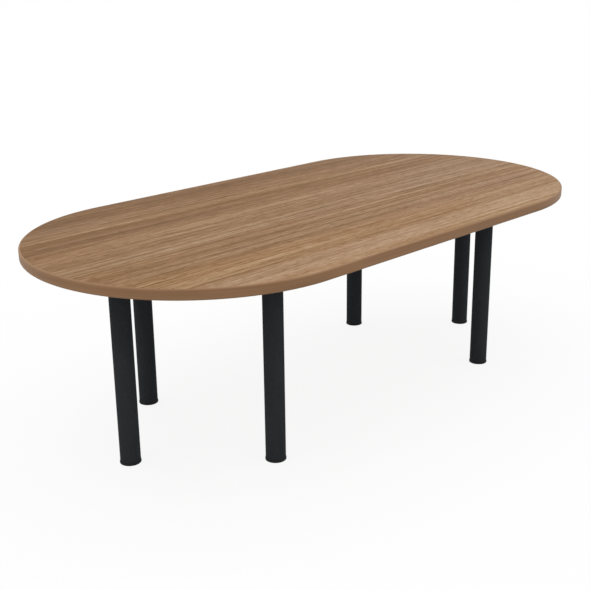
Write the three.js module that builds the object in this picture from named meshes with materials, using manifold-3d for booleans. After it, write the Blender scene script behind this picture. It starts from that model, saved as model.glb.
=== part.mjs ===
// Racetrack conference table on six round post legs.
// Millimetres, +Z up. The origin is on the floor under the middle of the top.
// The left end is -X, the front is -Y, and three legs stand under each half-round end.

import * as THREE from 'three';
import { mergeVertices, toCreasedNormals } from 'three/addons/utils/BufferGeometryUtils.js';
import Module from 'manifold-3d';

const wasm = await Module();
wasm.setup();

// Whole table
const tableLength = 2400;
const tableWidth = 1200;
const tableHeight = 730;
const legSetback = 250; // from the edge of the top to the middle of a leg

// Top: a chipboard core with laminate on both faces and a band round the edge
const coreThickness = 34.4;
const laminateThickness = 0.8;
const backerThickness = 0.8;
const bandThickness = 6;
const bandArris = 5.5; // rounding of the band's two outer edges
const glueLine = 0.3; // between the band and the board that it wraps

// Leg tube
const tubeDiameter = 70;
const tubeWall = 1.5;

// Mounting plate: a die-cast flange with a spigot that the tube slides over
const flangeRim = 5.3; // past the heads of the screws
const flangeThickness = 5;
const flangeChamfer = 1.6;
const spigotHeight = 32;
const spigotWall = 3;
const spigotLeadIn = 1.5;
const spigotClearance = 0.3; // between the spigot and the tube, on the radius
const webThickness = 3;
const hubMargin = 2; // how far the webs' hub stands out past the sides of the thick web

// Screws that hold a plate to the core
const screwsPerPlate = 3;
const driverSpace = 6.3; // between the tube and a screw's head
const screwDiameter = 4.6;
const screwHeadDiameter = 9.4;
const screwHeadRim = 0.6; // straight edge of the head before its cone
const screwPoint = 6;
const screwCover = 9; // core that is left above the point of a screw
const screwClearance = 0.3; // round a screw, in the plate and in its pilot hole

// Clamp screw: a grub screw in the spigot that bears on the tube's wall from inside
const clampDiameter = 8;
const clampLength = 12;
const clampSocket = 4; // across the flats of its hexagon socket
const clampSocketDepth = 4;
const clampClearance = 0.3; // round the screw, and from its end to the tube
const clampBlock = 15; // width of the thick web that the screw is tapped into
const keyHoleDiameter = 5; // hole in the tube for the hexagon key

// Tube insert: a moulded plug in the lower end of the tube
const collarHeight = 2.5;
const insertHeight = 30; // above the collar
const insertWall = 2.5;
const insertClearance = 0.3; // between the barbs and the tube, on the radius
const barbCount = 2;
const barbDepth = 0.8;
const bossWall = 4.5;
const ribCount = 6;
const ribThickness = 2.5;

// Levelling foot: a stud screwed into the insert, with a pad on its head
const studDiameter = 10;
const studChamfer = 1.2;
const threadClearance = 0.3; // between the stud and what it passes through, on the radius
const threadEngagement = 17; // stud left in the insert when the foot is fully out
const levellingTravel = 15;
const studHeadDiameter = 20;
const studHeadThickness = 2.2;
const padDiameter = 73;
const padRounding = 1.5;
const padFloor = 1.5; // under the stud's head
const padRoof = 3.2; // over it
const headClearance = 0.3; // round the stud's head, inside the pad
const footGap = 0.3; // from the pad to the insert's collar, foot fully in

// Facets
const endSegments = 34; // for each half-round end
const tubeSegments = 20;
const studSegments = 12;
const screwSegments = 6;
const hexagon = 6;
const pocketSegments = 3; // for each arc of a pocket between ribs
const arrisSegments = 3; // for the band
const roundingSegments = 2; // for a pad
const overcut = 1; // how far a cutting tool runs past the face that it opens

// Worked out from the sizes above
const endRadius = tableWidth / 2;
const endCentre = (tableLength - tableWidth) / 2;
const legRing = endRadius - legSetback;
const topThickness = backerThickness + coreThickness + laminateThickness;
const boardInset = bandThickness + glueLine;
const undersideZ = tableHeight - topThickness;
const coreBottomZ = undersideZ + backerThickness;
const coreTopZ = coreBottomZ + coreThickness;

const tubeRadius = tubeDiameter / 2;
const tubeBore = tubeRadius - tubeWall;
const flangeBottomZ = undersideZ - flangeThickness;
const spigotRadius = tubeBore - spigotClearance;
const spigotBore = spigotRadius - spigotWall;
const screwRing = tubeRadius + driverSpace + screwHeadDiameter / 2;
const flangeRadius = screwRing + screwHeadDiameter / 2 + flangeRim;
const screwLength = flangeThickness + backerThickness + coreThickness - screwCover;
const clampZ = flangeBottomZ - spigotHeight / 2;
const boreFlats = tubeBore * Math.cos(Math.PI / tubeSegments); // the bore at the middle of a facet
const clampOuterEnd = Math.sqrt(boreFlats ** 2 - (clampDiameter / 2) ** 2) - clampClearance;
const clampInnerEnd = clampOuterEnd - clampLength;
const webHubRadius = clampBlock / 2 + hubMargin;

// a round hole is measured across its facets, so that what turns in it keeps its clearance
const threadBore = (studDiameter / 2 + threadClearance) / Math.cos(Math.PI / studSegments);
const headSeat = (studHeadDiameter / 2 + headClearance) / Math.cos(Math.PI / studSegments);
const headBottomZ = padFloor + headClearance;
const headTopZ = headBottomZ + studHeadThickness;
const headSeatTopZ = headTopZ + headClearance;
const padHeight = headSeatTopZ + padRoof;
const collarBottomZ = padHeight + footGap;
const tubeBottomZ = collarBottomZ + collarHeight;
const insertTopZ = tubeBottomZ + insertHeight;
const barbRadius = tubeBore - insertClearance;
const plugRadius = barbRadius - barbDepth;
const plugBore = plugRadius - insertWall;
const bossRadius = threadBore + bossWall;
const studTopZ = collarBottomZ + threadEngagement + levellingTravel;

// Finishes
const finishes = {
  laminate: { color: 0x9b7b5f, roughness: 0.5, metalness: 0 },
  band: { color: 0x977452, roughness: 0.45, metalness: 0 },
  chipboard: { color: 0xb89a6c, roughness: 0.9, metalness: 0 },
  backer: { color: 0x8c7a68, roughness: 0.7, metalness: 0 },
  powderCoat: { color: 0x26282a, roughness: 0.55, metalness: 0.1 },
  dieCast: { color: 0x2c2d2f, roughness: 0.5, metalness: 0.4 },
  zincPlate: { color: 0xb9bcc0, roughness: 0.35, metalness: 1 },
  blackPlastic: { color: 0x1d1e20, roughness: 0.6, metalness: 0 },
};

// Makes a closed geometry into a solid that can be joined to others and cut by them.
function solid(geometry) {
  const bare = geometry.clone();
  bare.deleteAttribute('normal');
  bare.deleteAttribute('uv');
  const merged = mergeVertices(bare, 1e-4);
  const corners = merged.index.array;
  const triangles = [];
  for (let i = 0; i < corners.length; i += 3) {
    const [a, b, c] = corners.subarray(i, i + 3);
    if (a !== b && b !== c && c !== a) {
      triangles.push(a, b, c);
    }
  }
  return new wasm.Manifold(new wasm.Mesh({
    numProp: 3,
    vertProperties: new Float32Array(merged.attributes.position.array),
    triVerts: new Uint32Array(triangles),
  }));
}

function geometryOf(manifold) {
  const { vertProperties, triVerts } = manifold.getMesh();
  const geometry = new THREE.BufferGeometry();
  geometry.setAttribute('position', new THREE.BufferAttribute(vertProperties, 3));
  geometry.setIndex(new THREE.BufferAttribute(triVerts, 1));
  return geometry;
}

// Turns a profile of [radius, z] points about +Z. It runs from the top of the axis round the outside.
function turned(profile, segments) {
  const points = profile.map(([radius, z]) => new THREE.Vector2(radius, -z));
  return new THREE.LatheGeometry(points, segments).rotateX(-Math.PI / 2);
}

// Points on a quarter round from one angle to another, in degrees, as [radius, z].
function quarterRound(centreRadius, centreZ, rounding, from, to) {
  const arc = new THREE.EllipseCurve(
    centreRadius, centreZ, rounding, rounding,
    THREE.MathUtils.degToRad(from), THREE.MathUtils.degToRad(to), from > to,
  );
  return arc.getPoints(roundingSegments).map((point) => [point.x, point.y]);
}

function circle(radius) {
  const path = new THREE.Shape();
  path.absarc(0, 0, radius, 0, Math.PI * 2, false);
  return path;
}

function extruded(shape, bottomZ, height, segments) {
  const settings = { depth: height, bevelEnabled: false, curveSegments: segments / 2 };
  return new THREE.ExtrudeGeometry(shape, settings).translate(0, 0, bottomZ);
}

// The outline of the top, drawn in from its edge: two half circles and the sides that join them.
function racetrack(inset) {
  const outline = new THREE.Shape();
  outline.absarc(endCentre, 0, endRadius - inset, -Math.PI / 2, Math.PI / 2, false);
  outline.absarc(-endCentre, 0, endRadius - inset, Math.PI / 2, Math.PI * 1.5, false);
  return outline;
}

function slab(inset, bottomZ, thickness) {
  return extruded(racetrack(inset), bottomZ, thickness, endSegments);
}

// Each leg's place and the way it faces: its own +X points out to the edge of the top.
function legPlaces() {
  const places = [];
  for (const [side, end] of [['left', -1], ['right', 1]]) {
    places.push({ name: `${side}_end`, x: end * (endCentre + legRing), y: 0, facing: end < 0 ? Math.PI : 0 });
    places.push({ name: `front_${side}`, x: end * endCentre, y: -legRing, facing: -Math.PI / 2 });
    places.push({ name: `rear_${side}`, x: end * endCentre, y: legRing, facing: Math.PI / 2 });
  }
  return places;
}

function screwAngles() {
  return Array.from({ length: screwsPerPlate }, (_, i) => (i * Math.PI * 2) / screwsPerPlate);
}

// Where the screws of all the plates enter the top.
function screwPlaces() {
  return legPlaces().flatMap(({ x, y, facing }) => screwAngles().map((angle) => ({
    x: x + screwRing * Math.cos(facing + angle),
    y: y + screwRing * Math.sin(facing + angle),
    facing,
  })));
}

function makeCore() {
  const tipZ = flangeBottomZ + screwLength + screwClearance;
  const pilotRadius = screwDiameter / 2 + screwClearance;
  const pilot = turned([
    [0, tipZ],
    [pilotRadius, tipZ - screwPoint],
    [pilotRadius, coreBottomZ - overcut],
    [0, coreBottomZ - overcut],
  ], screwSegments);
  let core = solid(slab(boardInset, coreBottomZ, coreThickness));
  for (const { x, y, facing } of screwPlaces()) {
    core = core.subtract(solid(pilot.clone().rotateZ(facing).translate(x, y, 0)));
  }
  return geometryOf(core);
}

function makeBackingLaminate() {
  const drilled = circle(screwDiameter / 2 + screwClearance);
  const drill = extruded(drilled, undersideZ - overcut, backerThickness + overcut * 2, screwSegments);
  let sheet = solid(slab(boardInset, undersideZ, backerThickness));
  for (const { x, y, facing } of screwPlaces()) {
    sheet = sheet.subtract(solid(drill.clone().rotateZ(facing + Math.PI / 2).translate(x, y, 0)));
  }
  return geometryOf(sheet);
}

// The band is the whole top with rounded arrises, less the board inside it.
function makeEdgeBand() {
  const arris = Math.min(bandArris, bandThickness);
  const block = new THREE.ExtrudeGeometry(racetrack(0), {
    depth: topThickness - arris * 2,
    bevelThickness: arris,
    bevelSize: arris,
    bevelOffset: -arris,
    bevelSegments: arrisSegments,
    curveSegments: endSegments / 2,
  }).translate(0, 0, undersideZ + arris);
  const board = slab(bandThickness, undersideZ - overcut, topThickness + overcut * 2);
  return geometryOf(solid(block).subtract(solid(board)));
}

// A bar along a leg's own X, from one radius to another.
function bar(fromRadius, toRadius, z, radius, segments) {
  return new THREE.CylinderGeometry(radius, radius, toRadius - fromRadius, segments)
    .rotateZ(Math.PI / 2)
    .translate((fromRadius + toRadius) / 2, 0, z);
}

function makeLegTube() {
  const section = circle(tubeRadius);
  section.holes.push(circle(tubeBore));
  const tube = solid(extruded(section, tubeBottomZ, flangeBottomZ - tubeBottomZ, tubeSegments));
  const keyHole = bar(-tubeRadius - overcut, -tubeBore + overcut, clampZ, keyHoleDiameter / 2, screwSegments);
  return geometryOf(tube.subtract(solid(keyHole)));
}

// The outline of a pocket between two ribs that run out from a hub to a round wall. Each rib is given
// by its angle and its thickness.
function pocket(hubRadius, wallRadius, from, to) {
  const edge = (side, sign, radius) => side.angle + sign * Math.asin(side.thickness / 2 / radius);
  const outline = new THREE.Shape();
  outline.absarc(0, 0, wallRadius, edge(from, 1, wallRadius), edge(to, -1, wallRadius), false);
  outline.absarc(0, 0, hubRadius, edge(to, -1, hubRadius), edge(from, 1, hubRadius), true);
  return outline;
}

// Cuts the pockets between a ring of ribs, and leaves the ribs, the hub and the wall standing.
function cutPockets(block, ribs, hubRadius, wallRadius, bottomZ, height) {
  let body = block;
  ribs.forEach((from, i) => {
    const next = ribs[(i + 1) % ribs.length];
    const turn = i + 1 < ribs.length ? 0 : Math.PI * 2;
    const outline = pocket(hubRadius, wallRadius, from, { ...next, angle: next.angle + turn });
    body = body.subtract(solid(extruded(outline, bottomZ, height, pocketSegments)));
  });
  return body;
}

function makeMountingPlate() {
  const spigotBottomZ = flangeBottomZ - spigotHeight;
  const leadIn = Math.min(spigotLeadIn, spigotWall / 2);
  let plate = solid(turned([
    [0, undersideZ],
    [flangeRadius, undersideZ],
    [flangeRadius, flangeBottomZ + flangeChamfer],
    [flangeRadius - flangeChamfer, flangeBottomZ],
    [spigotRadius, flangeBottomZ],
    [spigotRadius, spigotBottomZ + leadIn],
    [spigotRadius - leadIn, spigotBottomZ],
    [0, spigotBottomZ],
  ], tubeSegments));

  // two thin webs and a thick one that takes the clamp screw stand inside the spigot
  const webs = [
    { angle: Math.PI / 3, thickness: webThickness },
    { angle: Math.PI, thickness: clampBlock },
    { angle: (Math.PI * 5) / 3, thickness: webThickness },
  ];
  plate = cutPockets(plate, webs, webHubRadius, spigotBore, spigotBottomZ - overcut, spigotHeight + overcut);
  const tapped = clampDiameter / 2 + clampClearance;
  const tappedEnd = clampInnerEnd - clampClearance;
  const tapping = bar(-spigotRadius - overcut, -tappedEnd, clampZ, tapped, studSegments);
  plate = plate.subtract(solid(tapping));

  // countersunk holes that follow the screws
  const head = screwHeadDiameter / 2 + screwClearance;
  const shank = screwDiameter / 2 + screwClearance;
  const countersink = turned([
    [0, undersideZ + overcut],
    [shank, undersideZ + overcut],
    [shank, flangeBottomZ + screwHeadRim + head - shank],
    [head, flangeBottomZ + screwHeadRim],
    [head, flangeBottomZ - overcut],
    [0, flangeBottomZ - overcut],
  ], screwSegments);
  for (const angle of screwAngles()) {
    const hole = countersink.clone().translate(screwRing * Math.cos(angle), screwRing * Math.sin(angle), 0);
    plate = plate.subtract(solid(hole));
  }
  return geometryOf(plate);
}

// A plate screw stands point up on its own axis, its head level with the flange's lower face.
function makePlateScrew() {
  const head = screwHeadDiameter / 2;
  const shank = screwDiameter / 2;
  return turned([
    [0, flangeBottomZ + screwLength],
    [shank, flangeBottomZ + screwLength - screwPoint],
    [shank, flangeBottomZ + screwHeadRim + head - shank],
    [head, flangeBottomZ + screwHeadRim],
    [head, flangeBottomZ],
    [0, flangeBottomZ],
  ], screwSegments);
}

function makeClampScrew() {
  const screw = solid(bar(-clampOuterEnd, -clampInnerEnd, clampZ, clampDiameter / 2, studSegments));
  const socketRadius = clampSocket / 2 / Math.cos(Math.PI / hexagon);
  const socketEnd = -clampOuterEnd + clampSocketDepth;
  const socket = solid(bar(-clampOuterEnd - overcut, socketEnd, clampZ, socketRadius, hexagon));
  return geometryOf(screw.subtract(socket));
}

// The plug has barbs that taper towards its top, so that it pushes in and does not pull out. Inside,
// ribs run from its wall to the boss that the stud screws into.
function makeTubeInsert() {
  const barbs = [];
  for (let i = barbCount; i > 0; i -= 1) {
    const z = tubeBottomZ + (insertHeight * i) / (barbCount + 1);
    barbs.push([barbRadius, z], [plugRadius, z]);
  }
  const block = solid(turned([
    [0, insertTopZ],
    [plugRadius, insertTopZ],
    ...barbs,
    [plugRadius, tubeBottomZ],
    [tubeRadius, tubeBottomZ],
    [tubeRadius, collarBottomZ],
    [0, collarBottomZ],
  ], tubeSegments));
  const ribs = Array.from({ length: ribCount }, (_, i) => (
    { angle: (i * Math.PI * 2) / ribCount, thickness: ribThickness }
  ));
  const insert = cutPockets(block, ribs, bossRadius, plugBore, tubeBottomZ, insertHeight + overcut);
  const boreDepth = insertTopZ - collarBottomZ + overcut * 2;
  const bore = extruded(circle(threadBore), collarBottomZ - overcut, boreDepth, studSegments);
  return geometryOf(insert.subtract(solid(bore)));
}

function makeLevellingStud() {
  const radius = studDiameter / 2;
  return turned([
    [0, studTopZ],
    [radius - studChamfer, studTopZ],
    [radius, studTopZ - studChamfer],
    [radius, headTopZ],
    [studHeadDiameter / 2, headTopZ],
    [studHeadDiameter / 2, headBottomZ],
    [0, headBottomZ],
  ], studSegments);
}

// The pad closes round the stud's head and is open above it, where the stud comes out.
function makeFootPad() {
  const rounding = Math.min(padRounding, padHeight / 2);
  const rim = padDiameter / 2 - rounding;
  const pad = solid(turned([
    [0, padHeight],
    ...quarterRound(rim, padHeight - rounding, rounding, 90, 0),
    ...quarterRound(rim, rounding, rounding, 0, -90),
    [0, 0],
  ], tubeSegments));
  const seat = solid(turned([
    [0, padHeight + overcut],
    [threadBore, padHeight + overcut],
    [threadBore, headSeatTopZ],
    [headSeat, headSeatTopZ],
    [headSeat, padFloor],
    [0, padFloor],
  ], studSegments));
  return geometryOf(pad.subtract(seat));
}

function piece(name, geometry, finish) {
  const smooth = toCreasedNormals(geometry, THREE.MathUtils.degToRad(30));
  const mesh = new THREE.Mesh(smooth, new THREE.MeshStandardMaterial(finishes[finish]));
  mesh.name = name;
  return mesh;
}

function makeTop() {
  const top = new THREE.Group();
  top.add(piece('tabletop_core', makeCore(), 'chipboard'));
  top.add(piece('top_laminate', slab(boardInset, coreTopZ, laminateThickness), 'laminate'));
  top.add(piece('backing_laminate', makeBackingLaminate(), 'backer'));
  top.add(piece('edge_band', makeEdgeBand(), 'band'));
  return top;
}

// The pieces of one leg, made once and placed under all six.
const legPieces = [
  ['leg_tube', makeLegTube(), 'powderCoat'],
  ['mounting_plate', makeMountingPlate(), 'dieCast'],
  ['clamp_screw', makeClampScrew(), 'zincPlate'],
  ['tube_insert', makeTubeInsert(), 'blackPlastic'],
  ['levelling_stud', makeLevellingStud(), 'zincPlate'],
  ['foot_pad', makeFootPad(), 'blackPlastic'],
];
const plateScrew = makePlateScrew();

function makeLeg({ name, x, y, facing }) {
  const leg = new THREE.Group();
  for (const [part, geometry, finish] of legPieces) {
    leg.add(piece(`${name}_${part}`, geometry, finish));
  }
  screwAngles().forEach((angle, i) => {
    const screw = piece(`${name}_plate_screw_${i + 1}`, plateScrew, 'zincPlate');
    screw.position.set(screwRing * Math.cos(angle), screwRing * Math.sin(angle), 0);
    leg.add(screw);
  });
  leg.position.set(x, y, 0);
  leg.rotation.z = facing;
  return leg;
}

const table = new THREE.Group();
table.add(makeTop());
for (const place of legPlaces()) {
  table.add(makeLeg(place));
}

export default table;
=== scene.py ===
import math

import bmesh
import bpy
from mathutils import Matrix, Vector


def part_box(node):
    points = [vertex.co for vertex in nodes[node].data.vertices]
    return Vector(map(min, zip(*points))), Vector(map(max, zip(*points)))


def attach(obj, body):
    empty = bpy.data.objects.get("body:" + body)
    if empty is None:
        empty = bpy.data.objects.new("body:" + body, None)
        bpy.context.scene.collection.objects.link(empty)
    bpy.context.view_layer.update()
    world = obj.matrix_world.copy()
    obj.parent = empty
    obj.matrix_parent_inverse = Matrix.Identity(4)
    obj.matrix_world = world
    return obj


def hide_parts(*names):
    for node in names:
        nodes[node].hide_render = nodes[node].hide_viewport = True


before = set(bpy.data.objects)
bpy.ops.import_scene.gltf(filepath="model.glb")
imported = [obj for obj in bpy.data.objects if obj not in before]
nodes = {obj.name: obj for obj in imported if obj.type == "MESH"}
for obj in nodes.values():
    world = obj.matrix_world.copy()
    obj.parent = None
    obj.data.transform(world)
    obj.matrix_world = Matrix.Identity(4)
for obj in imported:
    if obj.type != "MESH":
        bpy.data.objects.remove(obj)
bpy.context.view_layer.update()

mm = 0.001
overcut = 1 * mm           # how far a cutting tool stands out of what it cuts
fewSteps = 3               # faces on roundings of half a millimetre and less
holeSteps = 48             # faces round a screw hole
legs = ["left_end", "front_left", "rear_left", "right_end", "front_right", "rear_right"]


# small helpers for colours and node trees

def fromHex(code):  # sRGB hex to the linear colour that a socket takes
    parts = [int(code[i:i + 2], 16) / 255 for i in (1, 3, 5)]
    return [c / 12.92 if c <= 0.04045 else ((c + 0.055) / 1.055) ** 2.4 for c in parts] + [1]


def size(length, width, height):  # the real size of one cell of a pattern, written in millimetres
    return (length * mm, width * mm, height * mm)


def addNode(tree, kind, settings={}, links={}):  # one node, what is set on it and what feeds it
    node = tree.nodes.new(kind)
    for key, value in settings.items():
        if isinstance(key, int) or key in node.inputs:
            node.inputs[key].default_value = value
        else:
            setattr(node, key, value)
    for key, source in links.items():
        socket = source.outputs[0] if isinstance(source, bpy.types.Node) else source
        tree.links.new(socket, node.inputs[key])
    return node


def emptyTree(owner):  # the cleared node tree of a material or world
    owner.use_nodes = True
    owner.node_tree.nodes.clear()
    return owner.node_tree


patternSpread = 7          # metres of pattern over which the pieces are spread


def startMaterial(name, look):  # the shader, and the look's patterns as noise in cells of a real size
    material = bpy.data.materials.new(name)
    tree = emptyTree(material)
    shader = addNode(tree, "ShaderNodeBsdfPrincipled", look["shader"])
    addNode(tree, "ShaderNodeOutputMaterial", {}, {"Surface": shader})
    place = addNode(tree, "ShaderNodeTexCoord").outputs["Object"]
    if "start" in look:
        place = addNode(tree, "ShaderNodeVectorMath", {"operation": "ADD", 1: look["start"]}, {0: place})
    else:  # another stretch of the pattern on each piece
        chance = addNode(tree, "ShaderNodeObjectInfo").outputs["Random"]
        place = addNode(tree, "ShaderNodeVectorMath",
                        {"operation": "MULTIPLY_ADD", 1: [patternSpread] * 3}, {0: chance, 2: place})
    if "wander" in look:
        cell, shift = look["wander"]
        scaled = addNode(tree, "ShaderNodeVectorMath", {"operation": "DIVIDE", 1: cell}, {0: place})
        bends = addNode(tree, "ShaderNodeTexNoise", {"Scale": 1, "Detail": 1}, {"Vector": scaled})
        place = addNode(tree, "ShaderNodeVectorMath", {"operation": "MULTIPLY_ADD", 1: shift},
                        {0: bends.outputs["Color"], 2: place})
    layers = {}
    for part, (cell, detail) in look["patterns"].items():
        scaled = addNode(tree, "ShaderNodeVectorMath", {"operation": "DIVIDE", 1: cell}, {0: place})
        layers[part] = addNode(tree, "ShaderNodeTexNoise", {"Scale": 1, "Detail": detail},
                               {"Vector": scaled})
    return material, tree, shader, place, layers


def fillRamp(ramp, tones):  # colour stops from (position, hex) pairs
    stops = ramp.color_ramp.elements
    while len(stops) < len(tones):
        stops.new(1)
    for stop, (position, code) in zip(stops, tones):
        stop.position = position
        stop.color = fromHex(code)


def finishMaterial(tree, shader, look, colour, polish, relief):  # what feeds the shader
    smoothest, roughest = look["roughness"]
    gloss = addNode(tree, "ShaderNodeMapRange", {"To Min": smoothest, "To Max": roughest},
                    {"Value": polish})
    bump = addNode(tree, "ShaderNodeBump", {"Strength": 1, "Distance": look["relief"]},
                   {"Height": relief})
    tree.links.new(colour, shader.inputs["Base Color"])
    tree.links.new(gloss.outputs[0], shader.inputs["Roughness"])
    tree.links.new(bump.outputs[0], shader.inputs["Normal"])


# materials

laminateLook = {
    "shader": {"IOR": 1.5, "Specular IOR Level": 0.02},
    "tones": [(0.10, "#694720"), (0.32, "#815d36"), (0.50, "#977350"),
              (0.68, "#ae8d6c"), (0.90, "#c5a98e")],
    "start": (3.84, 153.552, -0.73),   # where in the endless print this sheet was cut, metres
    "wander": (size(1800, 260, 260), (0, 10 * mm, 0)),   # slow bends of the grain along the sheet
    "patterns": {                      # real size of a cell, and detail
        "band": (size(6000, 130, 130), 1),     # wide soft bands, darker and paler
        "figure": (size(7000, 36, 36), 1),     # soft streaks that run the whole length
        "flame": (size(700, 15, 15), 1),       # narrower ones that come and go
        "fleck": (size(70, 7, 7), 1),          # short and narrow ones
        "fibre": (size(120, 2.2, 2.2), 2),     # real fibres are finer, these are coarse enough to show
        "push": (size(5000, 150, 150), 0),     # moves the growth lines
        "fade": (size(260, 14, 14), 1),        # where the growth lines fade out and come back
        "pore": (size(34, 4, 4), 1),           # short dashes, also coarser than real pores
        "warmth": (size(2600, 150, 150), 0),   # redder and greyer streaks
        "blush": (size(1700, 120, 120), 1),    # pinker and yellower ones
        "hands": (size(260, 200, 200), 2),     # patches that wiping and hands have left smoother
    },
    # how far each pattern moves the tone
    "weights": {"band": 0.22, "figure": 0.42, "flame": 0.46, "fleck": 0.4, "fibre": 0.34},
    "drift": (0.02, -0.21),            # slow change of tone along and across the sheet, per metre
    "sapwood": (-0.44, -0.52),         # a paler strip at the front edge, sets in between these, metres
    "sapwoodFade": 0.8,                # how much the growth lines fade in it
    "sapwoodLift": 0.05,               # how much paler it is
    "lineSpacing": 44 * mm,            # thin dark growth lines
    "lineWidth": 6 * mm,               # with their soft edges
    "linePush": 110 * mm,              # how far they are pushed apart and together
    "lineFade": (0.42, 0.72),          # unseen under the first, full from the second
    "lineDepth": 1.0,
    "poreShare": (0.58, 0.7),          # the same for the pores
    "poreDepth": 0.27,
    "tintRange": (0.2, 0.8),           # the part of the tint patterns that is used
    "saturation": (0.94, 1.06),
    "hue": (0.495, 0.505),
    "paintedHazeGreying": -0.05,                  # saturation per metre across the sheet: greyer toward the rear, a painted haze of reflection
    "handShare": 0.6,                  # of the gloss, the rest follows the fibres
    "roughness": (0.32, 0.42),
    "relief": 0.025 * mm,
}


def makePrintedLaminate():
    # high-pressure laminate, a printed walnut paper under melamine pressed on a pored plate:
    # long straight streaks in warm browns, thin broken dark lines, an even satin face with little shine
    look = laminateLook
    material, tree, shader, grain, layers = startMaterial("printedWalnutLaminate", look)

    # growth lines: level lines an even step apart, pushed about and faded here and there
    across = addNode(tree, "ShaderNodeSeparateXYZ", {}, {0: grain}).outputs["Y"]
    pushed = addNode(tree, "ShaderNodeMath", {"operation": "MULTIPLY_ADD", 1: look["linePush"]},
                     {0: layers["push"], 2: across})
    apart = addNode(tree, "ShaderNodeMath", {"operation": "PINGPONG", 1: look["lineSpacing"] / 2},
                    {0: pushed})
    thin = addNode(tree, "ShaderNodeMapRange", {"From Min": look["lineWidth"] / 2, "From Max": 0},
                   {"Value": apart})
    weak, strong = look["lineFade"]
    faded = addNode(tree, "ShaderNodeMapRange", {"From Min": weak, "From Max": strong},
                    {"Value": layers["fade"]})
    sheet = addNode(tree, "ShaderNodeTexCoord").outputs["Object"]
    spot = addNode(tree, "ShaderNodeSeparateXYZ", {}, {0: sheet})
    outset, inset = look["sapwood"]
    sapwood = addNode(tree, "ShaderNodeMapRange",
                      {"From Min": outset, "From Max": inset, "To Max": look["sapwoodFade"]},
                      {"Value": spot.outputs["Y"]})
    seen = addNode(tree, "ShaderNodeMath", {"operation": "SUBTRACT", "use_clamp": True},
                   {0: faded, 1: sapwood})
    lines = addNode(tree, "ShaderNodeMath", {"operation": "MULTIPLY"}, {0: thin, 1: seen})
    few, many = look["poreShare"]
    pores = addNode(tree, "ShaderNodeMapRange", {"From Min": few, "From Max": many},
                    {"Value": layers["pore"]})

    # all patterns at their middle give the middle tone, and each moves it by its weight
    lengthwise, crosswise = look["drift"]
    middle = 0.5 - sum(look["weights"].values()) / 2
    tone = addNode(tree, "ShaderNodeMath", {"operation": "MULTIPLY_ADD", 1: lengthwise, 2: middle},
                   {0: spot.outputs["X"]})
    marks = [(spot.outputs["Y"], crosswise), (sapwood, look["sapwoodLift"])]
    marks += [(lines, -look["lineDepth"]), (pores, -look["poreDepth"])]
    marks += [(layers[part], weight) for part, weight in look["weights"].items()]
    for mark, weight in marks:
        tone = addNode(tree, "ShaderNodeMath", {"operation": "MULTIPLY_ADD", 1: weight},
                       {0: mark, 2: tone})
    browns = addNode(tree, "ShaderNodeValToRGB", {}, {"Fac": tone})
    fillRamp(browns, look["tones"])

    tints = {}
    least, most = look["tintRange"]
    for part, (low, high) in (("warmth", look["saturation"]), ("blush", look["hue"])):
        limits = {"From Min": least, "From Max": most, "To Min": low, "To Max": high}
        tints[part] = addNode(tree, "ShaderNodeMapRange", limits, {"Value": layers[part]})
    # painted reflection haze: the colour greys toward the rear of the sheet
    hazeGreyed = addNode(tree, "ShaderNodeMath", {"operation": "MULTIPLY_ADD", 1: look["paintedHazeGreying"]},
                     {0: spot.outputs["Y"], 2: tints["warmth"]})
    colour = addNode(tree, "ShaderNodeHueSaturation", {},
                     {"Hue": tints["blush"], "Saturation": hazeGreyed, "Color": browns})

    polish = addNode(tree, "ShaderNodeMix", {0: look["handShare"]},
                     {2: layers["fibre"], 3: layers["hands"]})
    relief = addNode(tree, "ShaderNodeMath", {"operation": "SUBTRACT"}, {0: layers["fibre"], 1: pores})
    finishMaterial(tree, shader, look, colour.outputs[0], polish, relief)
    return material


bandLook = {
    "shader": {"IOR": 1.53, "Specular IOR Level": 0.12},
    "tones": [(0.25, "#8a6746"), (0.45, "#9a7556"), (0.60, "#a57f5e"), (0.80, "#b28d6d")],
    "patterns": {
        "streak": (size(900, 900, 13), 2),     # soft lines of the print, which run along the band
        "fibre": (size(300, 300, 2.4), 2),     # coarser than the real print, to show
        "cloud": (size(260, 260, 60), 1),
    },
    "fibreShare": 0.42,
    "cloudShare": 0.3,
    "roughness": (0.42, 0.55),
    "relief": 0.015 * mm,
}


def makePrintedBand():
    # ABS edge band, extruded and printed to match:
    # soft level lines, plainer and a little redder than the top
    look = bandLook
    material, tree, shader, _, layers = startMaterial("printedAbsBand", look)
    grain = addNode(tree, "ShaderNodeMix", {0: look["fibreShare"]},
                    {2: layers["streak"], 3: layers["fibre"]})
    tone = addNode(tree, "ShaderNodeMix", {0: look["cloudShare"]}, {2: grain, 3: layers["cloud"]})
    browns = addNode(tree, "ShaderNodeValToRGB", {}, {"Fac": tone})
    fillRamp(browns, look["tones"])
    finishMaterial(tree, shader, look, browns.outputs["Color"], layers["cloud"], layers["fibre"])
    return material


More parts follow.
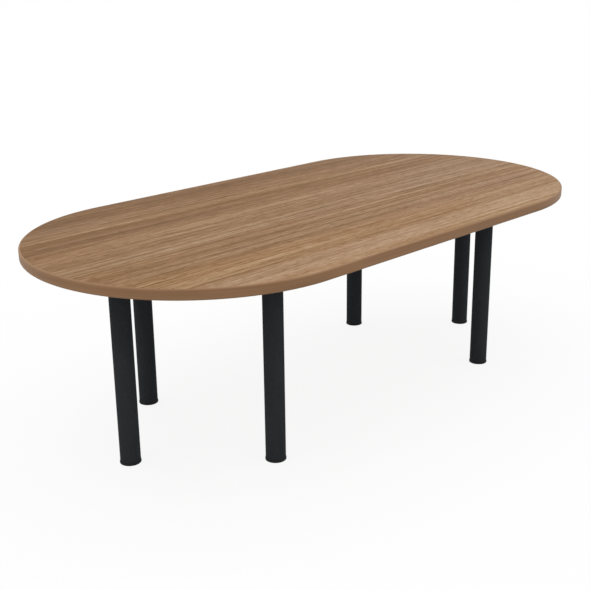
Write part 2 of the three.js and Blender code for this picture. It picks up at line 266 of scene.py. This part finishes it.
# Finishes of one tone with a mottle: two tones and the tone of rubbed spots, and how much of those shows.
# Their grit is drawn two to five times as coarse as the real one, so that it shows at this distance.
mottledLooks = {
    "powderCoatedSteel": {  # sprayed and baked polyester powder: orange peel, nearly no shine
        "shader": {"IOR": 1.5, "Specular IOR Level": 0.04},
        "tones": ("#303336", "#3b3e41"), "worn": "#4b4e51", "wear": 0.15,
        "patterns": {"grit": (size(4, 4, 4), 2), "cloud": (size(60, 60, 180), 2),
                     "rub": (size(9, 9, 22), 2)},
        "roughness": (0.66, 0.8), "relief": 0.06 * mm,
    },
    "mouldedBlackPolypropylene": {  # moulded on a spark-eroded tool: even grit, greyer where dragged
        "shader": {"IOR": 1.49, "Specular IOR Level": 0.15},
        "tones": ("#1f2021", "#292a2b"), "worn": "#4c4d4e", "wear": 0.35,
        "patterns": {"grit": (size(2, 2, 2), 2), "cloud": (size(25, 25, 25), 2),
                     "rub": (size(5, 5, 2), 2)},
        "roughness": (0.5, 0.68), "relief": 0.04 * mm,
    },
    "coatedDieCastZinc": {  # cast in a polished die, then dipped black: soft waves, satin
        "shader": {"IOR": 1.5, "Specular IOR Level": 0.3},
        "tones": ("#232425", "#303132"), "worn": "#55575a", "wear": 0.25,
        "patterns": {"grit": (size(5, 5, 5), 2), "cloud": (size(30, 30, 30), 2),
                     "rub": (size(6, 6, 6), 2)},
        "roughness": (0.4, 0.58), "relief": 0.05 * mm,
    },
    "zincPlatedSteel": {  # turned, then bright plated: pale blue grey metal with cloudy gloss
        "shader": {"Metallic": 1},
        "tones": ("#a9adb3", "#c9cdd2"), "worn": "#8b8d90", "wear": 0.4,
        "patterns": {"grit": (size(1.5, 1.5, 0.8), 2), "cloud": (size(6, 6, 6), 2),
                     "rub": (size(2, 2, 1), 2)},
        "roughness": (0.24, 0.42), "relief": 0.01 * mm,
    },
    "pressedChipboard": {  # wood chips pressed with resin: flakes from straw to brown
        "shader": {"IOR": 1.5, "Specular IOR Level": 0.2},
        "tones": ("#8f7147", "#d3b98a"), "worn": "#6a4f2e", "wear": 0.6,
        "patterns": {"grit": (size(5, 5, 2), 2), "cloud": (size(40, 40, 12), 2),
                     "rub": (size(7, 3, 2), 2)},
        "roughness": (0.8, 0.95), "relief": 0.2 * mm,
    },
    "plainBackingLaminate": {  # undecorated kraft laminate: matte brown, faintly clouded, slightly pebbled
        "shader": {"IOR": 1.5, "Specular IOR Level": 0.25},
        "tones": ("#76624f", "#8a7560"), "worn": "#9a876f", "wear": 0.2,
        "patterns": {"grit": (size(5, 5, 5), 2), "cloud": (size(180, 90, 90), 2),
                     "rub": (size(60, 8, 8), 2)},
        "roughness": (0.6, 0.78), "relief": 0.05 * mm,
    },
}
mottle = {
    "cloudShare": 0.5,             # against the grit
    "toneRange": (0.3, 0.7),       # from all dark to all light
    "rubRange": (0.58, 0.72),      # where rubbed spots set in and are full
}


def makeMottled(name):
    look = mottledLooks[name]
    material, tree, shader, _, layers = startMaterial(name, look)
    tone = addNode(tree, "ShaderNodeMix", {0: mottle["cloudShare"]},
                   {2: layers["grit"], 3: layers["cloud"]})
    darkest, lightest = mottle["toneRange"]
    spread = addNode(tree, "ShaderNodeMapRange", {"From Min": darkest, "From Max": lightest},
                     {"Value": tone})
    dark, light = (fromHex(code) for code in look["tones"])
    plain = addNode(tree, "ShaderNodeMix", {"data_type": "RGBA", 6: dark, 7: light}, {0: spread})
    first, full = mottle["rubRange"]
    spots = addNode(tree, "ShaderNodeMapRange",
                    {"From Min": first, "From Max": full, "To Max": look["wear"]},
                    {"Value": layers["rub"]})
    colour = addNode(tree, "ShaderNodeMix", {"data_type": "RGBA", 7: fromHex(look["worn"])},
                     {0: spots, 6: plain.outputs[2]})
    finishMaterial(tree, shader, look, colour.outputs[2], layers["cloud"], layers["grit"])
    return material


printedLaminate = makePrintedLaminate()
printedBand = makePrintedBand()
finish = {name: makeMottled(name) for name in mottledLooks}
print("materials:", len(bpy.data.materials))


# mesh making

mergeDistance = 0.001 * mm


def circle(radius, z, count):
    return [(radius * math.cos(math.tau * i / count), radius * math.sin(math.tau * i / count), z)
            for i in range(count)]


def loft(rings, closed=False):  # skin over rings of points, joined into a loop or capped at both ends
    count = len(rings[0])
    points = [point for ring in rings for point in ring]
    last = len(rings) if closed else len(rings) - 1
    faces = []
    for row in range(last):
        here, there = row * count, (row + 1) % len(rings) * count
        for i in range(count):
            after = (i + 1) % count
            faces.append((here + i, here + after, there + after, there + i))
    if not closed:
        faces += [tuple(range(count))[::-1], tuple(range(len(points) - count, len(points)))]
    mesh = bpy.data.meshes.new("skin")
    mesh.from_pydata(points, [], faces)
    tidy(mesh)
    return mesh


def tidy(mesh):  # faces point out, doubled points go
    work = bmesh.new()
    work.from_mesh(mesh)
    bmesh.ops.remove_doubles(work, verts=work.verts, dist=mergeDistance)
    bmesh.ops.recalc_face_normals(work, faces=work.faces)
    work.to_mesh(mesh)
    work.free()


def turned(profile, count, closed=False):  # profile of (radius, z)
    return loft([circle(radius, z, count) for radius, z in profile], closed)


def rounded(radius, z, bend, start, end, steps=6):  # arc in a profile, angles in degrees
    turns = [math.radians(start + (end - start) * i / steps) for i in range(steps + 1)]
    return [(radius + bend * math.cos(t), z + bend * math.sin(t)) for t in turns]


def prism(outline, bottom, top):  # an outline of (x, y) drawn up
    return loft([[(x, y, bottom) for x, y in outline], [(x, y, top) for x, y in outline]])


def cutAway(mesh, tools):  # the mesh less each tool
    block = bpy.data.objects.new("block", mesh)
    bpy.context.collection.objects.link(block)
    made = [block]
    for tool in tools:
        cutter = bpy.data.objects.new("cutter", tool)
        bpy.context.collection.objects.link(cutter)
        block.modifiers.new("cut", "BOOLEAN").object = cutter
        made.append(cutter)
    result = bpy.data.meshes.new_from_object(block.evaluated_get(bpy.context.evaluated_depsgraph_get()))
    for thing in made:
        bpy.data.objects.remove(thing)
    tidy(result)
    return result


def smooth(mesh, angle=32):  # edges over this many degrees stay crisp
    mesh.shade_smooth()
    mesh.set_sharp_from_angle(angle=math.radians(angle))


def addPiece(name, mesh, material, node, body="table", place=(0, 0, 0), turn=0):
    mesh.materials.clear()
    mesh.materials.append(material)
    piece = bpy.data.objects.new(name, mesh)
    bpy.context.collection.objects.link(piece)
    piece.location = place
    piece.rotation_euler.z = turn
    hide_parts(node)
    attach(piece, body)


def dressNode(name, material):  # a CAD node that keeps its own mesh
    materials = nodes[name].data.materials
    materials.clear()
    materials.append(material)


# the top: laminate on both faces and a band round the edge, over the CAD core

top = {
    "endSteps": 144,       # points on each half-round end
    "bandThickness": 6 * mm,
    "arris": 5.5 * mm,     # rounding of the band's outer edges
    "arrisSteps": 8,
}
bandLow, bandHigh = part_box("edge_band")
faceLow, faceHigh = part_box("top_laminate")
backLow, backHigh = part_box("backing_laminate")
endCentre = bandHigh.x - bandHigh.y


def racetrack(radius, z):  # ring of points round the top
    steps = top["endSteps"]
    turns = [math.pi * (i / steps - 0.5) for i in range(steps + 1)]
    right = [(endCentre + radius * math.cos(t), radius * math.sin(t), z) for t in turns]
    return right + [(-x, -y, z) for x, y, z in right]


def makeTop():
    edge, arris, steps = bandHigh.y, top["arris"], top["arrisSteps"]
    inner = edge - top["bandThickness"]
    profile = [(inner, bandLow.z)]
    profile += rounded(edge - arris, bandLow.z + arris, arris, -90, 0, steps)
    profile += rounded(edge - arris, bandHigh.z - arris, arris, 0, 90, steps)
    profile += [(inner, bandHigh.z)]
    band = loft([racetrack(radius, z) for radius, z in profile], closed=True)
    face = loft([racetrack(faceHigh.y, z) for z in (faceLow.z, faceHigh.z)])
    back = loft([racetrack(backHigh.y, z) for z in (backLow.z, backHigh.z)])
    for mesh in (band, face, back):
        smooth(mesh)
    addPiece("decor_face", face, printedLaminate, "top_laminate")
    addPiece("banding", band, printedBand, "edge_band")
    addPiece("balancing_sheet", back, finish["plainBackingLaminate"], "backing_laminate")
    dressNode("tabletop_core", finish["pressedChipboard"])


makeTop()
print("top: face, band and backing")


# the legs: each piece is made once, on a leg's own axis, and set under all six places

screwsPerLeg = 3
sample = "right_end"       # its own +X is the table's +X, so its boxes read directly
tubeLow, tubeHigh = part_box(sample + "_leg_tube")
plateLow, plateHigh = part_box(sample + "_mounting_plate")
screwLow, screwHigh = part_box(sample + "_plate_screw_1")
insertLow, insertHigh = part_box(sample + "_tube_insert")
studLow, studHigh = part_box(sample + "_levelling_stud")
padLow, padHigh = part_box(sample + "_foot_pad")
clampLow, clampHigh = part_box(sample + "_clamp_screw")
legX = (tubeLow.x + tubeHigh.x) / 2
tubeRadius = tubeHigh.x - legX
screwRing = (screwLow.x + screwHigh.x) / 2 - legX
clampZ = (clampLow.z + clampHigh.z) / 2
screwTurns = [math.tau * i / screwsPerLeg for i in range(screwsPerLeg)]


def bar(near, far, z, radius, count=32):  # a round tool along the leg's own X
    rings = [[(x, px, z + py) for px, py, _ in circle(radius, 0, count)] for x in (near, far)]
    return loft(rings)


def pocketOutline(hub, wall, start, end, steps=16):  # between two ribs, each given as (angle, thickness)
    def edge(rib, side, radius):
        return rib[0] + side * math.asin(rib[1] / 2 / radius)
    outer = (edge(start, 1, wall), edge(end, -1, wall))
    inner = (edge(end, -1, hub), edge(start, 1, hub))
    outline = []
    for radius, (a, b) in ((wall, outer), (hub, inner)):
        turns = [a + (b - a) * i / steps for i in range(steps + 1)]
        outline += [(radius * math.cos(t), radius * math.sin(t)) for t in turns]
    return outline


def pockets(ribs, hub, wall, bottom, above):  # a cutting tool for each room between ribs
    following = ribs[1:] + [(ribs[0][0] + math.tau, ribs[0][1])]
    return [prism(pocketOutline(hub, wall, a, b), bottom, above) for a, b in zip(ribs, following)]


threadFlank = 3.4          # how fast a thread rises to its crest, in depths over one pitch


def threadRings(look, bottom, top, envelope):  # rings of a screw thread, kept inside an envelope radius
    count = look["steps"]
    rows = math.ceil((top - bottom) / look["pitch"] * look["rowsPerTurn"])
    depth = (look["major"] - look["minor"]) / 2
    rings = []
    for row in range(rows + 1):
        z = bottom + (top - bottom) * row / rows
        ring = []
        for i in range(count):
            phase = (z / look["pitch"] - i / count) % 1
            crest = min(1, threadFlank * (0.5 - abs(phase - 0.5)))
            radius = min(look["minor"] / 2 + depth * crest, envelope(z))
            angle = math.tau * i / count
            ring.append((radius * math.cos(angle), radius * math.sin(angle), z))
        rings.append(ring)
    return rings


tube = {
    "steps": 96,
    "wall": 1.5 * mm,
    "lip": 0.35 * mm,      # rounding of the cut ends under the coating
    "keyHole": 5 * mm,
}


def makeTubeMesh():
    bore, lip = tubeRadius - tube["wall"], tube["lip"]
    bottom, above = tubeLow.z, tubeHigh.z
    profile = [(bore, above), (bore, bottom)]
    profile += rounded(tubeRadius - lip, bottom + lip, lip, -90, 0, fewSteps)
    profile += rounded(tubeRadius - lip, above - lip, lip, 0, 90, fewSteps)
    mesh = turned(profile, tube["steps"], closed=True)
    hole = bar(-tubeRadius - overcut, -bore + overcut, clampZ, tube["keyHole"] / 2)
    return cutAway(mesh, [hole])


screw = {
    "steps": 36,
    "head": 9.4 * mm,
    "rim": 0.6 * mm,
    "rimEdge": 0.15 * mm,
    "major": 4.6 * mm,
    "minor": 3.1 * mm,
    "pitch": 2.2 * mm,
    "runOut": 0.4,         # how steeply the thread rises under the head
    "point": 6 * mm,
    "tip": 0.1 * mm,       # radius of the point
    "recess": (5.4 * mm, 1.15 * mm, 2.4 * mm),   # length, width and depth of the cross
    "recessTaper": (1.15, 0.6),                  # its size over the head's face and at its bottom
    "rest": 1.7,           # sets how far each one was turned when it came to rest
    "rowsPerTurn": 10,
}


def makeScrewMesh():  # head down, on its own axis
    head, shank, bottom, tip = screw["head"] / 2, screw["minor"] / 2, screwLow.z, screwHigh.z
    coneTop = bottom + screw["rim"] + head - shank
    edge = screw["rimEdge"]
    rim = [(head - edge, bottom), (head, bottom + edge), (head, bottom + screw["rim"])]
    rings = [circle(radius, z, screw["steps"]) for radius, z in rim]

    def envelope(z):  # runs out under the head and comes to a point
        point = (tip - z) / screw["point"] * screw["major"] / 2 + screw["tip"]
        return min(shank + (z - coneTop) * screw["runOut"], point)
    rings += threadRings(screw, coneTop, tip, envelope)
    length, width, depth = screw["recess"]
    wideShare, narrowShare = screw["recessTaper"]
    levels = ((bottom - overcut, wideShare), (bottom + depth, narrowShare))
    corners = ((-1, -1), (1, -1), (1, 1), (-1, 1))
    cross = []
    for wide, deep in ((length, width), (width, length)):
        cross.append(loft([[(x * wide / 2 * share, y * deep / 2 * share, z) for x, y in corners]
                           for z, share in levels]))
    return cutAway(loft(rings), cross)


plate = {
    "steps": 96,
    "chamfer": 1.6 * mm,
    "spigotGap": 0.3 * mm,
    "spigotWall": 3 * mm,
    "leadIn": 1.5 * mm,
    "web": 3 * mm,
    "block": 15 * mm,      # the thick web that the clamp screw is tapped into
    "hub": 9.5 * mm,
    "tapping": 8.6 * mm,
    "screwGap": 0.3 * mm,  # room round the screws
}


def makePlateMesh():
    flange, bottom = plateHigh.x - legX, tubeHigh.z
    spigot = tubeRadius - tube["wall"] - plate["spigotGap"]
    chamfer, leadIn = plate["chamfer"], plate["leadIn"]
    profile = [(spigot - leadIn, plateLow.z), (spigot, plateLow.z + leadIn), (spigot, bottom)]
    profile += rounded(flange - chamfer, bottom + chamfer, chamfer, -90, 0)
    profile += [(flange, plateHigh.z)]
    mesh = turned(profile, plate["steps"])
    webs = [(math.pi / 3, plate["web"]), (math.pi, plate["block"]), (math.pi * 5 / 3, plate["web"])]
    tools = pockets(webs, plate["hub"], spigot - plate["spigotWall"], plateLow.z - overcut, bottom)
    gap = plate["screwGap"]
    tools.append(bar(-spigot - overcut, clampHigh.x - legX + gap, clampZ, plate["tapping"] / 2))
    head, shank = screw["head"] / 2 + gap, screw["major"] / 2 + gap
    coneBottom = bottom + screw["rim"]
    for turn in screwTurns:
        sink = turned([(head, bottom - overcut), (head, coneBottom), (shank, coneBottom + head - shank),
                       (shank, plateHigh.z + overcut)], holeSteps)
        for point in sink.vertices:
            point.co.x += screwRing * math.cos(turn)
            point.co.y += screwRing * math.sin(turn)
        tools.append(sink)
    return cutAway(mesh, tools)


insert = {
    "steps": 96,
    "collar": 2.5 * mm,
    "lip": 0.4 * mm,
    "gap": 0.3 * mm,
    "barb": 0.8 * mm,
    "barbs": 2,
    "wall": 2.5 * mm,
    "boss": 10 * mm,       # radius, as the bore is
    "bore": 5.45 * mm,
    "ribs": 6,
    "rib": 2.5 * mm,
}


def makeInsertMesh():
    outer, lip = tubeRadius, insert["lip"]
    bottom, above = insertLow.z, insertHigh.z
    collarTop = bottom + insert["collar"]
    barb = tubeRadius - tube["wall"] - insert["gap"]
    plug = barb - insert["barb"]
    profile = rounded(outer - lip, bottom + lip, lip, -90, 0, fewSteps)
    profile += rounded(outer - lip, collarTop - lip, lip, 0, 90, fewSteps)
    profile += [(plug, collarTop)]
    spacing = (above - collarTop) / (insert["barbs"] + 1)
    for i in range(insert["barbs"]):
        z = collarTop + spacing * (i + 1)
        profile += [(plug, z), (barb, z), (plug, z + spacing)]
    mesh = turned(profile, insert["steps"])
    ribs = [(math.tau * i / insert["ribs"], insert["rib"]) for i in range(insert["ribs"])]
    tools = pockets(ribs, insert["boss"], plug - insert["wall"], collarTop, above + overcut)
    tools.append(turned([(insert["bore"], z) for z in (bottom - overcut, above + overcut)], holeSteps))
    return cutAway(mesh, tools)


stud = {
    "steps": 36,
    "major": 10 * mm,
    "minor": 8.2 * mm,
    "pitch": 1.5 * mm,
    "runOut": 0.6,         # how steeply the thread rises over the neck
    "chamfer": 1.2 * mm,
    "headThickness": 2.2 * mm,
    "headRim": 0.5 * mm,
    "rowsPerTurn": 10,
}


def makeStudMesh():
    head, rim, count = (studHigh.x - studLow.x) / 2, stud["headRim"], stud["steps"]
    bottom, headTop = studLow.z, studLow.z + stud["headThickness"]
    disc = rounded(head - rim, bottom + rim, rim, -90, 0, fewSteps)
    disc += rounded(head - rim, headTop - rim, rim, 0, 90, fewSteps)
    rings = [circle(radius, z, count) for radius, z in disc]

    def envelope(z):  # plain neck over the head, chamfer at the end
        neck = stud["minor"] / 2 + max(0, z - headTop - stud["pitch"]) * stud["runOut"]
        return min(neck, stud["major"] / 2 - stud["chamfer"] + max(0, studHigh.z - z))
    return loft(rings + threadRings(stud, headTop, studHigh.z, envelope))


pad = {
    "steps": 96,
    "rounding": 1.4 * mm,
    "seatRadius": 10.6 * mm,
    "seatBottom": 1.5 * mm,
    "seatTop": 4.3 * mm,
    "mouth": 5.45 * mm,    # radius round the stud's neck
    "mouthChamfer": 0.5 * mm,
    "groove": (24 * mm, 26 * mm, 0.5 * mm),   # ring sunk in the underside, from and to and how deep
}


def makePadMesh():
    outer, bend = (padHigh.x - padLow.x) / 2, pad["rounding"]
    bottom, above, mouth, chamfer = padLow.z, padHigh.z, pad["mouth"], pad["mouthChamfer"]
    grooveStart, grooveEnd, depth = pad["groove"]
    roof = bottom + depth
    profile = [(grooveStart, bottom), (grooveStart, roof), (grooveEnd, roof), (grooveEnd, bottom)]
    profile += rounded(outer - bend, bottom + bend, bend, -90, 0)
    profile += rounded(outer - bend, above - bend, bend, 0, 90)
    profile += [(mouth + chamfer, above), (mouth, above - chamfer), (mouth, pad["seatTop"]),
                (pad["seatRadius"], pad["seatTop"]), (pad["seatRadius"], pad["seatBottom"])]
    return turned(profile, pad["steps"])


legPieces = {  # mesh, material, slot, CAD node, body
    "post": (makeTubeMesh(), "powderCoatedSteel", "powder_coated_steel", "leg_tube", "table"),
    "socket_plate": (makePlateMesh(), "coatedDieCastZinc", "die_cast_zinc", "mounting_plate", "table"),
    "plug": (makeInsertMesh(), "mouldedBlackPolypropylene", "black_plastic", "tube_insert", "table"),
    "leveller": (makeStudMesh(), "zincPlatedSteel", "zinc_plated_steel", "levelling_stud", "stud"),
    "glide": (makePadMesh(), "mouldedBlackPolypropylene", "black_plastic", "foot_pad", "pad"),
}
screwMesh = makeScrewMesh()
for mesh in [values[0] for values in legPieces.values()] + [screwMesh]:
    smooth(mesh)


def placeLeg(leg):
    low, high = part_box(leg + "_leg_tube")
    x, y = (low.x + high.x) / 2, (low.y + high.y) / 2
    facing = math.atan2(y, x - math.copysign(endCentre, x))
    for part, (mesh, material, slot, node, body) in legPieces.items():
        rider = "table" if body == "table" else leg + "_" + body
        addPiece(leg + "_" + part, mesh, finish[material], leg + "_" + node, rider,
                 (x, y, 0), facing)
    for i, turn in enumerate(screwTurns, 1):
        place = (x + screwRing * math.cos(facing + turn), y + screwRing * math.sin(facing + turn), 0)
        addPiece(f"{leg}_screw_{i}", screwMesh, finish["zincPlatedSteel"], f"{leg}_plate_screw_{i}",
                 place=place, turn=facing + turn * screw["rest"])
    dressNode(leg + "_clamp_screw", finish["zincPlatedSteel"])


for leg in legs:
    placeLeg(leg)
print("legs:", len(legs), "with", len(legPieces) + len(screwTurns), "new pieces each")


# floor, light and camera

studio = {
    "floorReach": 40,      # metres
    "floorTone": "#b2b2b2",
    "shadowShare": 0.12,   # how much of the floor that is seen takes shadow, the rest is plain white
    "sky": 0.75,
    "overhead": 0.25,      # with the sky this lights a level face at 1, so colours come out as written
    "overheadSpread": 75,  # degrees across, for soft edges
}
view = {
    "image": 590,                  # pixels a side
    "focal": 1037.727,             # pixels
    "axis": (334.389, 303.044),    # where the lens points in the image, pixels from the left and the top
    "place": (-2.828, -2.658, 1.6605),
    "pitch": 18.904,               # degrees down
    "heading": -47.581,            # degrees from +Y
    "sensor": 36,                  # millimetres across
    "farthest": 200,               # metres
}


def seenDirectly(tree):  # 1 for what the camera sees, straight or in a reflection
    path = addNode(tree, "ShaderNodeLightPath")
    seen = addNode(tree, "ShaderNodeMath", {"operation": "MAXIMUM"},
                   {0: path.outputs["Is Camera Ray"], 1: path.outputs["Is Glossy Ray"]})
    return addNode(tree, "ShaderNodeMath", {"operation": "MAXIMUM"},
                   {0: seen, 1: path.outputs["Is Transmission Ray"]})


def makeFloor():
    reach = studio["floorReach"]
    mesh = bpy.data.meshes.new("floor")
    corners = [(-reach, -reach, 0), (reach, -reach, 0), (reach, reach, 0), (-reach, reach, 0)]
    mesh.from_pydata(corners, [], [(0, 1, 2, 3)])
    floor = bpy.data.objects.new("floor", mesh)
    bpy.context.collection.objects.link(floor)
    material = bpy.data.materials.new("paintedStudioFloor")
    tree = emptyTree(material)
    paint = addNode(tree, "ShaderNodeBsdfDiffuse", {"Color": fromHex(studio["floorTone"])})
    shaded = addNode(tree, "ShaderNodeBsdfDiffuse", {"Color": fromHex("#ffffff")})
    white = addNode(tree, "ShaderNodeEmission", {"Strength": 1})
    shown = addNode(tree, "ShaderNodeMixShader", {0: studio["shadowShare"]}, {1: white, 2: shaded})
    upper = addNode(tree, "ShaderNodeMixShader", {}, {0: seenDirectly(tree), 1: paint, 2: shown})
    clear = addNode(tree, "ShaderNodeBsdfTransparent")
    behind = addNode(tree, "ShaderNodeNewGeometry").outputs["Backfacing"]
    both = addNode(tree, "ShaderNodeMixShader", {}, {0: behind, 1: upper, 2: clear})
    addNode(tree, "ShaderNodeOutputMaterial", {}, {"Surface": both})
    mesh.materials.append(material)


def makeLight():
    world = bpy.data.worlds.new("studio")
    tree = emptyTree(world)
    sky = addNode(tree, "ShaderNodeBackground", {"Color": fromHex("#ffffff"), "Strength": studio["sky"]})
    backdrop = addNode(tree, "ShaderNodeBackground", {"Color": fromHex("#ffffff"), "Strength": 1})
    mixed = addNode(tree, "ShaderNodeMixShader", {}, {0: seenDirectly(tree), 1: sky, 2: backdrop})
    addNode(tree, "ShaderNodeOutputWorld", {}, {"Surface": mixed})
    bpy.context.scene.world = world
    lamp = bpy.data.lights.new("overhead", "SUN")
    lamp.energy = studio["overhead"] * math.pi
    lamp.angle = math.radians(studio["overheadSpread"])
    bpy.context.collection.objects.link(bpy.data.objects.new("overhead", lamp))


def makeCamera():
    lens = bpy.data.cameras.new("photoView")
    lens.sensor_width = view["sensor"]
    lens.lens = view["focal"] / view["image"] * lens.sensor_width
    lens.shift_x = 0.5 - view["axis"][0] / view["image"]
    lens.shift_y = view["axis"][1] / view["image"] - 0.5
    lens.clip_end = view["farthest"]
    camera = bpy.data.objects.new("photoView", lens)
    camera.location = view["place"]
    camera.rotation_euler = (math.radians(90 - view["pitch"]), 0, math.radians(view["heading"]))
    bpy.context.collection.objects.link(camera)
    bpy.context.scene.camera = camera


makeFloor()
makeLight()
makeCamera()
bpy.context.scene.view_settings.view_transform = "Standard"
print("floor, light and camera set")
